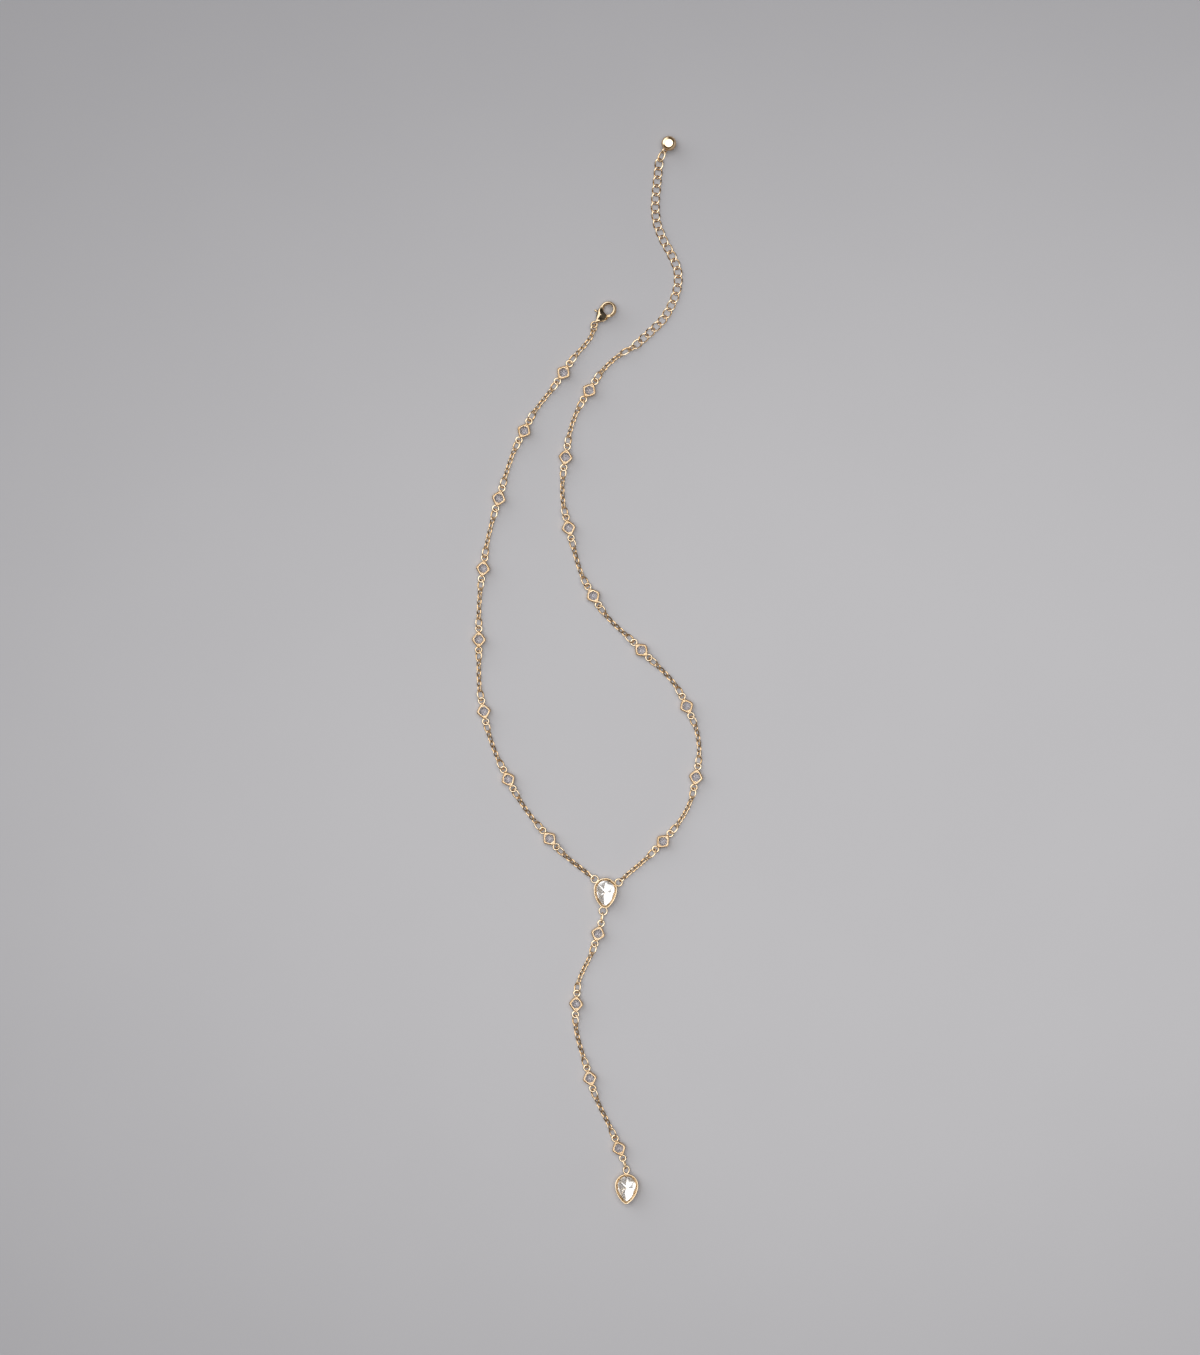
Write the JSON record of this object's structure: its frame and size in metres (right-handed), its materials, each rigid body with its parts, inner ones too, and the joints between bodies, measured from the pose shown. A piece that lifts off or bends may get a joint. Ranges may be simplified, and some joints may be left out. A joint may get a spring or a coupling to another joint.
{
  "type": "rhinestone necklace",
  "caption": "Y necklace of fine cable chain with small clear stones in open settings, a pear stone at the join, a pear pendant, a lobster clasp and an extender",
  "frame": {"origin": "centre of the box round the laid necklace, on the surface that it lies on", "axes": "+Y runs from the pendant towards the clasp and the extender, +Z is up and the stones face it, +X is the wearer's left when the stones face away from the wearer and +Y is up"},
  "size_m": [0.0762, 0.3519, 0.0049],
  "materials": {
    "gold": "polished pale gold plating",
    "clear_stone": "cut and polished, clear",
    "foiled_stone": "cut and polished, with a silver foil on the back"
  },
  "bodies": {
    "necklace": {"setting_l1": "gold", "setting_l2": "gold", "setting_l3": "gold", "setting_l4": "gold", "setting_l5": "gold", "setting_l6": "gold", "setting_l7": "gold", "setting_l8": "gold", "setting_r1": "gold", "setting_r2": "gold", "setting_r3": "gold", "setting_r4": "gold", "setting_r5": "gold", "setting_r6": "gold", "setting_r7": "gold", "setting_r8": "gold", "setting_d1": "gold", "setting_d2": "gold", "setting_d3": "gold", "setting_d4": "gold", "centre_setting": "gold", "pendant_setting": "gold", "left_chain": "gold", "right_chain": "gold", "drop_chain": "gold", "extender_chain": "gold", "clasp_body": "gold", "clasp_ring": "gold", "charm_ring": "gold", "end_ball": "gold", "stone_l1": "clear_stone", "stone_l2": "clear_stone", "stone_l3": "clear_stone", "stone_l4": "clear_stone", "stone_l5": "clear_stone", "stone_l6": "clear_stone", "stone_l7": "clear_stone", "stone_l8": "clear_stone", "stone_r1": "clear_stone", "stone_r2": "clear_stone", "stone_r3": "clear_stone", "stone_r4": "clear_stone", "stone_r5": "clear_stone", "stone_r6": "clear_stone", "stone_r7": "clear_stone", "stone_r8": "clear_stone", "stone_d1": "clear_stone", "stone_d2": "clear_stone", "stone_d3": "clear_stone", "stone_d4": "clear_stone", "centre_stone": "foiled_stone", "pendant_stone": "foiled_stone"},
    "clasp_lever": {"clasp_lever": "gold"}
  },
  "joints": [
    {"name": "clasp_hinge", "type": "hinge", "parent": "necklace", "child": "clasp_lever", "pos_m": [0.00458, 0.11696, 0.00154], "axis": [-0.2711, 0.1564, 0.9498], "range_deg": [0, 22], "stiffness_Nm_per_rad": 0.002, "springref_deg": -8.59}
  ]
}
